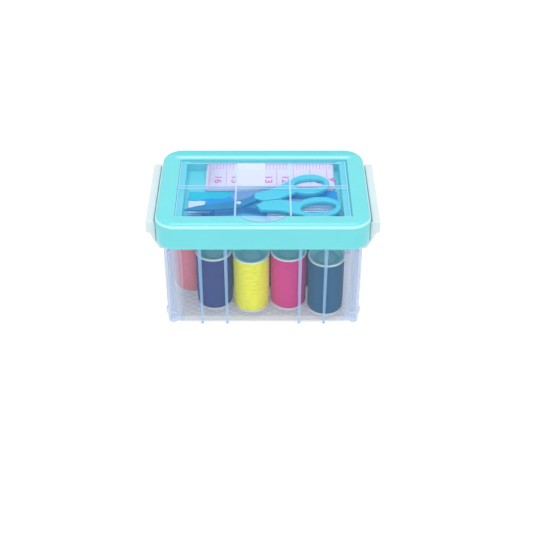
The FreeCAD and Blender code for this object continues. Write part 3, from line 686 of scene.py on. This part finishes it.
def thread_finish(name, colour, centre, contrast, radius):
    """Thread of one colour, wound about a spool's centre."""
    inputs = {"Color": opaque(colour), "Centre": centre, "Contrast": contrast, "Radius": radius}
    plain = {"Sheen Weight": 0.15, "Sheen Roughness": 0.4, "Specular IOR Level": 0.3}
    return finish_from("thread_" + name, "Wound thread", inputs, plain)


def dress(node, material):
    """Gives a node of the frame its finish."""
    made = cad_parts[node]
    if not made.material_slots:
        made.data.materials.append(material)
    for slot in made.material_slots:
        slot.material = material


def show(made):
    """Puts an object in the scene."""
    bpy.context.scene.collection.objects.link(made)


def link_piece(name, mesh, material, body):
    """Puts a finished mesh in the scene as a piece that moves with a body."""
    piece = bpy.data.objects.new(name, mesh)
    show(piece)
    mesh.materials.append(material)
    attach(piece, body)
    return piece


def mesh_from(bm, name, smooth=True):
    """Turns a finished bmesh into a mesh, and frees it."""
    mesh = bpy.data.meshes.new(name)
    for face in bm.faces:
        face.smooth = smooth
    bm.to_mesh(mesh)
    bm.free()
    return mesh


def chain(bm, points, closed):
    """Joins points with edges, end to end."""
    corners = [bm.verts.new(point) for point in points]
    for first, second in zip(corners, corners[1:]):
        bm.edges.new((first, second))
    if closed:
        bm.edges.new((corners[-1], corners[0]))


# ------------------------ windings


CORE_RADIUS = 6.05 * MM  # where the thread starts, on the spool's core
CROWN = 0.3 * MM  # how far the winding draws in towards its two ends
THREAD_CONTRAST = 0.09
YELLOW_CONTRAST = 0.11


def winding_outline(low, high, inner, outer):
    """Half section of a winding, as (radius, height): one ridge for each turn of thread."""
    pitch = sizes().thread_pitch
    ridge = sizes().thread_ridge
    wander = sizes().thread_wander
    turns = round((high - low) / pitch)
    step = (high - low) / turns
    shoulder = (high - low) / 8
    flank = ridge * 0.2
    lip = outer - sizes().lip_width
    points = [(inner, low)]
    for turn in range(turns):
        middle = low + (turn + 0.5) * step
        end = min(middle - low, high - middle, shoulder) / shoulder
        reach = outer - CROWN * (1 - end) - random.uniform(0, wander)
        for drop, rise in ((ridge, -step / 2), (flank, -step / 4), (0, 0), (flank, step / 4)):
            points.append((reach - drop, middle + rise))
    dish_floor = high - sizes().dish_depth
    points += [(outer - CROWN - ridge - wander, high), (lip, high)]
    points += [(lip - sizes().dish_slope, dish_floor), (inner, dish_floor)]
    return points


def make_winding(name):
    """One spool's thread, turned about the spool's own axis."""
    node = "thread_" + name
    low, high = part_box(node)
    centre = (low + high) / 2
    outer = (high.x - low.x) / 2
    bm = bmesh.new()
    outline = winding_outline(low.z, high.z, CORE_RADIUS, outer)
    chain(bm, [(centre.x, centre.y + radius, height) for radius, height in outline], closed=True)
    bmesh.ops.spin(
        bm,
        geom=bm.verts[:] + bm.edges[:],
        cent=(centre.x, centre.y, 0),
        axis=(0, 0, 1),
        angle=math.tau,
        steps=sizes().winding_steps,
        use_merge=True,
    )
    bmesh.ops.remove_doubles(bm, verts=bm.verts[:], dist=1e-6)
    bmesh.ops.recalc_face_normals(bm, faces=bm.faces[:])
    contrast = YELLOW_CONTRAST if name == "yellow" else THREAD_CONTRAST
    colour = getattr(colours(), name)
    material = thread_finish(name, colour, (centre.x, centre.y, 0), contrast, outer)
    piece = link_piece("winding_" + name, mesh_from(bm, "winding_" + name), material, "box")
    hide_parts(node)


class SPOOLBOX_OT_spools(bpy.types.Operator):
    """Makes the thread wound on the eight spools, and gives the bobbins their plastic"""

    bl_idname = "spoolbox.spools"
    bl_label = "Spools"

    def execute(self, context):
        random.seed(11)
        white = bobbin_finish()
        for name in THREADS:
            make_winding(name)
            dress("bobbin_" + name, white)
        return {"FINISHED"}


# ------------------------ clear box, lid, cover and latches


class SPOOLBOX_OT_clear_box(bpy.types.Operator):
    """Gives the box its clear plastic, with ribs that show and a diamond floor"""

    bl_idname = "spoolbox.clear_box"
    bl_label = "Clear box"

    def execute(self, context):
        marks = {
            "Rib depth": 37.2 * MM,
            "Corner X": 46.6 * MM,
            "Corner line": 0.5 * MM,
            "Post X": 50.0 * MM,
            "Post Y": 30.2 * MM,
            "End wall": 54.9 * MM,
            "Floor": 4.2 * MM,
            "Rib top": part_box("box_body")[1].z - 0.7 * MM,
        }
        hazes = {
            "Thick": 0.5,
            "Corner": 0.2,
            "Post": 0.03,
            "End": 0.16,
            # Floor, Ridge and Groove carry the floor's painted shade and the painted highlight and shade of
            # its lines
            "Floor": 0.16,
            "Ridge": 0.26,
            "Groove": 0.18,
        }
        finish = clear_finish(
            "box_plastic",
            colours().clear,
            colours().rib,
            haze=0.06,
            edge=0.42,
            hazes=hazes,
            marks=marks,
        )
        dress("box_body", finish)
        return {"FINISHED"}


class SPOOLBOX_OT_lid(bpy.types.Operator):
    """Gives the lid and its tray their turquoise plastic"""

    bl_idname = "spoolbox.lid"
    bl_label = "Lid"

    def execute(self, context):
        dress("lid", lid_finish())
        return {"FINISHED"}


class SPOOLBOX_OT_cover(bpy.types.Operator):
    """Gives the flip cover its clear plastic and pale ribs"""

    bl_idname = "spoolbox.cover"
    bl_label = "Window cover"

    def execute(self, context):
        marks = {
            "Rib top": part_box("window_cover")[1].z - 0.2 * MM,
            "Side": 48.95 * MM,
            "Front edge": -31.97 * MM,
            "Edge width": 0.45 * MM,
            "Tab centre": -18.81 * MM,
            "Tab radius": 17.4 * MM,
        }
        finish = clear_finish(
            "cover_plastic",
            colours().cover,
            colours().cover_edge,
            haze=0.07,
            edge=0.2,
            hazes={"Thick": 0.64, "Tab": 0.28},
            marks=marks,
            specular=0.25,
        )
        dress("window_cover", finish)
        return {"FINISHED"}


class SPOOLBOX_OT_latches(bpy.types.Operator):
    """Gives the two end latches their white plastic"""

    bl_idname = "spoolbox.latches"
    bl_label = "Latches"

    def execute(self, context):
        soft = {"Subsurface Weight": 0.4, "Subsurface Scale": 0.004, "Subsurface Radius": (0.8, 1.0, 1.0)}
        white = moulded_finish("latch_plastic", colours().latch, cloudiness=0.015, polish=0.2, **soft)
        for node in ("latch_left", "latch_right"):
            dress(node, white)
        return {"FINISHED"}


# ------------------------ tape measure


CENTIMETRE = 10 * MM
FIRST_LINE = 2.7 * MM  # from the roll's left end to the first centimetre line
FIRST_NUMBER = 16
NUMBER_Y = 7.9 * MM  # from the roll's front edge to the middle of a number
NUMBER_MARGIN = 1.9 * MM  # the least room between a number's middle and the roll's right end
CAPITAL_HEIGHT = 0.70  # of a letter, as a share of the type's size
BOLDNESS = 0.012  # how far letters are thickened, as a share of the type's size
TICK_STEPS = (-2, 2, 4, 6)  # millimetres from each centimetre line
TICK_LENGTH = 2.9 * MM
TICK_MARGIN = 0.6 * MM
FRONT_MARGIN = 0.9 * MM
BACK_MARGIN = 0.5 * MM
END_MARGIN = 0.3 * MM
BORDER_PARTS = 24
BEND_PARTS = 8
END_SHARE = 0.98  # how far round the roll's end a mark may go


def rolled_run(left, right, bottom, top):
    """The middle line of a strip rolled flat, from its inner end outwards, as (x, z)."""
    layers = sizes().tape_layers
    reach = (top - bottom - sizes().tape_thickness) / 2
    middle = (bottom + top) / 2
    step = reach / (layers - 0.5)
    bend_left = left + (top - bottom) / 2
    bend_right = right - (top - bottom) / 2
    points = []
    for layer in range(layers):
        upper = (layers - 1 - layer) % 2 == 0
        half = step * (layer + 0.5)
        height = middle + half if upper else middle - half
        start, end = (bend_right, bend_left) if upper else (bend_left, bend_right)
        points.append((start, height))
        for part in (0.25, 0.5, 0.75):
            points.append((start + (end - start) * part, height))
        points.append((end, height))
        if layer == layers - 1:
            break
        radius = half + step / 2
        centre = height - radius if upper else height + radius
        turn = 1 if upper else -1
        outwards = -1 if upper else 1
        for part in range(1, BEND_PARTS):
            angle = math.pi * part / BEND_PARTS
            points.append(
                (end + outwards * radius * math.sin(angle), centre + turn * radius * math.cos(angle))
            )
    return points


def raised(y, back):
    """How far the roll's top stands up at a place across it."""
    ramp = sizes().rise_width
    return sizes().tape_rise * max(0.0, y - back + ramp) / ramp


def over_the_end(point, high):
    """Lays a printed point on the rolled tape: up its back edge, and down round its right end."""
    low_top = high.z - sizes().tape_rise
    radius = (low_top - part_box("tape_measure")[0].z) / 2
    past = min(max(point.x - high.x + radius, 0.0), radius * END_SHARE)
    drop = radius - math.sqrt(radius * radius - past * past)
    height = low_top + raised(point.y, high.y) * (1 - drop / radius) - drop + sizes().print_lift
    return Vector((point.x, point.y, height))


def print_line(bm, x_low, x_high, y_low, y_high):
    """One printed line, as a flat strip."""
    size = Vector((x_high - x_low, y_high - y_low, 1))
    middle = Vector(((x_low + x_high) / 2, (y_low + y_high) / 2, 0))
    place = Matrix.Translation(middle) @ Matrix.Diagonal(size.to_4d())
    bmesh.ops.create_grid(bm, x_segments=1, y_segments=1, size=0.5, matrix=place)


def number_mesh(text, x, y, height):
    """A number that reads across the tape, with its middle at x, y."""
    curve = bpy.data.curves.new("number_" + text, "FONT")
    curve.body = text
    curve.size = height / CAPITAL_HEIGHT
    curve.align_x = "CENTER"
    curve.align_y = "CENTER"
    curve.offset = BOLDNESS * curve.size
    letters = bpy.data.objects.new("number_" + text, curve)
    show(letters)
    bpy.context.view_layer.update()
    evaluated = letters.evaluated_get(bpy.context.evaluated_depsgraph_get())
    mesh = bpy.data.meshes.new_from_object(evaluated)
    stretch = Matrix.Diagonal((sizes().number_stretch, 1, 1, 1))
    mesh.transform(Matrix.Translation((x, y, 0)) @ Matrix.Rotation(-math.pi / 2, 4, "Z") @ stretch)
    bpy.data.objects.remove(letters)
    return mesh


class SPOOLBOX_OT_tape(bpy.types.Operator):
    """Makes the rolled tape measure with its marks and numbers, and finishes its paper band"""

    bl_idname = "spoolbox.tape"
    bl_label = "Tape measure"

    def execute(self, context):
        low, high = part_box("tape_measure")
        top = high.z - sizes().tape_rise
        run = rolled_run(low.x, high.x, low.z, top)
        width = high.y - low.y
        ramp = sizes().rise_width
        flat = width - ramp
        columns = [0.0, flat / 3, flat * 2 / 3, flat, width - ramp / 2, width]
        bm = bmesh.new()
        chain(bm, [(x, low.y, z) for x, z in run], closed=False)
        edges = bm.edges[:]
        for start, end in zip(columns, columns[1:]):
            grown = bmesh.ops.extrude_edge_only(bm, edges=edges)["geom"]
            moved = {item for item in grown if isinstance(item, bmesh.types.BMVert)}
            edges = [
                item
                for item in grown
                if isinstance(item, bmesh.types.BMEdge) and moved.issuperset(item.verts)
            ]
            bmesh.ops.translate(bm, vec=(0, end - start, 0), verts=list(moved))
        for vert in bm.verts:
            vert.co.z += raised(vert.co.y, high.y) * (vert.co.z - low.z) / (top - low.z)
        bmesh.ops.recalc_face_normals(bm, faces=bm.faces[:])
        white = paper_finish("tape_coated_cloth", colours().tape, weave=0.35, polish=0.38, specular=0.35)
        strip = link_piece("tape_strip", mesh_from(bm, "tape_strip"), white, "lid")
        thicken = strip.modifiers.new("Thickness", "SOLIDIFY")
        thicken.thickness = sizes().tape_thickness
        thicken.offset = 0.0
        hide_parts("tape_measure")

        ink = paper_finish("tape_ink", colours().ink, weave=0.1, polish=0.45)
        pieces = [self.make_marks(low, high, ink), self.make_numbers(low, high, ink)]
        dress("tape_band", paper_finish("band_paper", colours().band, weave=0.0, polish=0.55))
        return {"FINISHED"}

    def lay(self, mesh, high):
        """Lays a flat print on the roll."""
        for vert in mesh.vertices:
            vert.co = over_the_end(vert.co, high)

    def cell_lines(self, low, high):
        """Where the centimetre lines cross the tape, from the first that shows on the left."""
        first = low.x + FIRST_LINE
        count = int((high.x - first) / CENTIMETRE) + 1
        return [first + CENTIMETRE * index for index in range(count)]

    def make_marks(self, low, high, ink):
        """The centimetre lines, the ticks between them and the line along the front edge."""
        half = sizes().tick_width / 2
        bm = bmesh.new()
        far = high.y - BACK_MARGIN
        near = low.y + FRONT_MARGIN
        bend = high.y - sizes().rise_width
        for line in self.cell_lines(low, high):
            print_line(bm, line - half, line + half, near, bend)
            print_line(bm, line - half, line + half, bend, far)
            for step in TICK_STEPS:
                x = line + step * MM
                if x < high.x - TICK_MARGIN:
                    print_line(bm, x - half, x + half, far - TICK_LENGTH, far)
        left = low.x + END_MARGIN
        span = high.x - END_MARGIN - left
        for part in range(BORDER_PARTS):
            start = left + span * part / BORDER_PARTS
            end = left + span * (part + 1) / BORDER_PARTS
            print_line(bm, start, end, near - half, near + half)
        mesh = mesh_from(bm, "tape_marks", smooth=False)
        self.lay(mesh, high)
        return link_piece("tape_marks", mesh, ink, "lid")

    def make_numbers(self, low, high, ink):
        """The numbers, which count down to the right."""
        bm = bmesh.new()
        for index, line in enumerate(self.cell_lines(low, high)):
            x = min(line + CENTIMETRE / 2, high.x - NUMBER_MARGIN)
            text = str(FIRST_NUMBER - index)
            mesh = number_mesh(text, x, low.y + NUMBER_Y, sizes().number_height)
            bm.from_mesh(mesh)
            bpy.data.meshes.remove(mesh)
        mesh = mesh_from(bm, "tape_numbers", smooth=False)
        self.lay(mesh, high)
        return link_piece("tape_numbers", mesh, ink, "lid")


# ------------------------ needle card and scissors


CARD_PRINT = (
    # name, linear colour, corners in millimetres from the middle of the box
    (
        "sweep",
        (0.0, 0.56, 0.70),
        ((-43.3, 3.3), (-43.3, -4.4), (-41.5, -5.2), (-38, -5.2), (-34, -4.0), (-30, -3.2), (-26, -3.7),
         (-22, -3.3), (-19.6, -1.2), (-17.6, 3.3)),
    ),
    (
        "panel",
        (0.20, 0.35, 0.62),
        ((-17.2, 3.3), (-19.6, -0.8), (-16.5, -5.2), (-12.5, -4.6), (-8.5, -2.2), (-2.6, 3.3)),
    ),
    (
        "patch",
        (0.74, 0.86, 0.92),
        ((-43.3, -5.8), (-43.3, -12.8), (-38.0, -12.2), (-34.4, -11.4), (-33.4, -6.4), (-36.6, -5.8),
         (-40.0, -6.3)),
    # foot: a pale print band along the card's front, made paler as painted light where the front wall shades
    # the card
    ),
    (
        "foot",
        (0.12, 0.60, 0.98),
        ((-27.6, -15.2), (-27.6, -30.2), (1.2, -30.2), (1.2, -13.6), (-14.0, -14.4)),
    ),
    ("stripe_long", (0.45, 0.62, 0.80), ((-43.3, -16.6), (-43.3, -18.2), (-30.5, -18.2), (-30.5, -16.6))),
    ("stripe_short", (0.45, 0.62, 0.80), ((-43.3, -19.2), (-43.3, -20.8), (-35.5, -20.8), (-35.5, -19.2))),
)


BLADE_TURN = math.radians(-10.6)  # how far the blades point round from the X axis


class SPOOLBOX_OT_needle_card(bpy.types.Operator):
    """Prints plain shapes on the needle card, one of them made paler as painted light, and finishes its
    pocket and needles
    """

    bl_idname = "spoolbox.needle_card"
    bl_label = "Needle card"

    def execute(self, context):
        blue = paper_finish("card_print_blue", colours().card, weave=0.0, polish=0.3, specular=0.2)
        dress("needle_card", blue)
        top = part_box("needle_card")[1].z + sizes().print_lift
        for name, colour, corners in CARD_PRINT:
            bm = bmesh.new()
            chain(bm, [(x * MM, y * MM, top) for x, y in corners], closed=True)
            bmesh.ops.triangle_fill(bm, edges=bm.edges[:], normal=(0, 0, 1))
            name = "card_" + name
            finish = paper_finish(name, colour, weave=0.0, polish=0.3, specular=0.2)
            link_piece(name, mesh_from(bm, name, smooth=False), finish, "lid")
        pale = colours().cover_edge
        film = clear_finish("pocket_film", pale, pale, haze=0.16, edge=0.4)
        dress("needle_pocket", film)
        dress("needles", steel_finish("needle_steel", colours().needle, turn=0.0, polish=0.12))
        return {"FINISHED"}


class SPOOLBOX_OT_scissors(bpy.types.Operator):
    """Finishes the scissors: ground blades, a bright rivet and glossy handles"""

    bl_idname = "spoolbox.scissors"
    bl_label = "Scissors"

    def execute(self, context):
        steel = steel_finish("blade_steel", colours().blade, turn=BLADE_TURN, polish=0.26)
        for node in ("scissors_blade_lower", "scissors_blade_upper"):
            dress(node, steel)
        dress("scissors_rivet", steel_finish("rivet_steel", colours().needle, turn=0.0, polish=0.15))
        gloss = moulded_finish("handle_plastic", colours().handle, cloudiness=0.03, polish=0.14)
        for node in ("scissors_handle_near", "scissors_handle_far"):
            dress(node, gloss)
        return {"FINISHED"}


# ------------------------ studio


WHITE = (1.0, 1.0, 1.0)
FLOOR_COLOUR = (0.92, 0.92, 0.92)
FLOOR_HALF_SIZE = 1.6
FLOOR_GLOW = 0.40
WORLD_LIGHT = 0.62
LAMP_AIM = Vector((0, 0, 0.04))
CAMERA_PLACE = (0.002, -0.5084, 0.4085)
CAMERA_DOWN = 37.8  # degrees under the horizon
CAMERA_LENS = 70.24
SENSOR_WIDTH = 36.0


def seen_rays(tree):
    """One for rays that show a surface to the eye, directly, in a reflection or through glass."""
    path = add(tree, "ShaderNodeLightPath").outputs
    return most(tree, path["Is Camera Ray"], path["Is Glossy Ray"], path["Is Transmission Ray"])


def make_floor():
    """A pale floor that shows as white and keeps the box's shadow."""
    bm = bmesh.new()
    bmesh.ops.create_grid(bm, x_segments=4, y_segments=4, size=FLOOR_HALF_SIZE)
    values = {
        "Base Color": opaque(FLOOR_COLOUR),
        "Roughness": 0.9,
        "Specular IOR Level": 0.1,
        "Emission Color": opaque(WHITE),
    }
    material, tree, shader = finish_of("studio_floor", values)
    tree.links.new(times(tree, seen_rays(tree), FLOOR_GLOW), shader.inputs["Emission Strength"])
    mesh = mesh_from(bm, "studio_floor", smooth=False)
    mesh.materials.append(material)
    floor = bpy.data.objects.new("studio_floor", mesh)
    show(floor)


def make_world():
    """White where it is seen, and weaker where it lights the box."""
    world = bpy.data.worlds.new("studio")
    world.use_nodes = True
    tree = world.node_tree
    backing = tree.nodes["Background"]
    backing.inputs["Color"].default_value = opaque(WHITE)
    strength = spread(tree, seen_rays(tree), 0.0, 1.0, WORLD_LIGHT, 1.0)
    tree.links.new(strength, backing.inputs["Strength"])
    bpy.context.scene.world = world


def make_lamp(name, place, length, width, power):
    """A soft rectangular lamp that faces the box."""
    lamp = bpy.data.lights.new(name, "AREA")
    lamp.shape = "RECTANGLE"
    lamp.size = length
    lamp.size_y = width
    lamp.energy = power
    made = bpy.data.objects.new(name, lamp)
    made.location = place
    made.rotation_euler = (LAMP_AIM - Vector(place)).to_track_quat("-Z", "Y").to_euler()
    show(made)


class SPOOLBOX_OT_studio(bpy.types.Operator):
    """Sets up the floor, the soft light and the camera"""

    bl_idname = "spoolbox.studio"
    bl_label = "Studio"

    def execute(self, context):
        make_floor()
        make_world()
        make_lamp("key_lamp", (0.0, -0.1, 1.15), length=0.9, width=0.6, power=6.4)
        make_lamp("front_lamp", (0.0, -1.05, 0.42), length=1.6, width=0.2, power=3.5)
        camera = bpy.data.cameras.new("camera")
        camera.lens = CAMERA_LENS
        camera.sensor_width = SENSOR_WIDTH
        made = bpy.data.objects.new("camera", camera)
        made.location = CAMERA_PLACE
        made.rotation_euler = (math.radians(90 - CAMERA_DOWN), 0, 0)
        show(made)
        bpy.context.scene.camera = made
        bpy.context.scene.view_settings.view_transform = "Standard"
        return {"FINISHED"}


# ------------------------ panel and main


class SPOOLBOX_PT_sidebar(bpy.types.Panel):
    """Lists the sizes, the colours and the operators"""

    bl_label = "Spool Box"
    bl_idname = "SPOOLBOX_PT_sidebar"
    bl_space_type = "VIEW_3D"
    bl_region_type = "UI"
    bl_category = "Spool Box"

    def draw(self, context):
        for group in (context.scene.spool_box_sizes, context.scene.spool_box_colours):
            column = self.layout.column(align=True)
            for name in group.bl_rna.properties.keys():
                if name not in ("rna_type", "name"):
                    column.prop(group, name)
        for operator in OPERATORS:
            self.layout.operator(operator.bl_idname)


OPERATORS = (
    SPOOLBOX_OT_studio,
    SPOOLBOX_OT_clear_box,
    SPOOLBOX_OT_lid,
    SPOOLBOX_OT_cover,
    SPOOLBOX_OT_latches,
    SPOOLBOX_OT_spools,
    SPOOLBOX_OT_tape,
    SPOOLBOX_OT_needle_card,
    SPOOLBOX_OT_scissors,
)
CLASSES = (SpoolBoxSizes, SpoolBoxColours, SPOOLBOX_PT_sidebar) + OPERATORS


def register():
    """Registers the classes, and hangs the sizes and colours on the scene."""
    for item in CLASSES:
        bpy.utils.register_class(item)
    bpy.types.Scene.spool_box_sizes = PointerProperty(type=SpoolBoxSizes)
    bpy.types.Scene.spool_box_colours = PointerProperty(type=SpoolBoxColours)


def unregister():
    """Undoes what register does."""
    del bpy.types.Scene.spool_box_colours
    del bpy.types.Scene.spool_box_sizes
    for item in reversed(CLASSES):
        bpy.utils.unregister_class(item)


def main():
    """Registers the add-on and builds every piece."""
    register()
    make_moulded_group()
    make_thread_group()
    make_paper_group()
    make_steel_group()
    make_thick_plastic_group()
    bpy.ops.spoolbox.studio()
    bpy.ops.spoolbox.clear_box()
    bpy.ops.spoolbox.lid()
    bpy.ops.spoolbox.cover()
    bpy.ops.spoolbox.latches()
    bpy.ops.spoolbox.spools()
    bpy.ops.spoolbox.tape()
    bpy.ops.spoolbox.needle_card()
    bpy.ops.spoolbox.scissors()


if __name__ == "__main__":
    main()
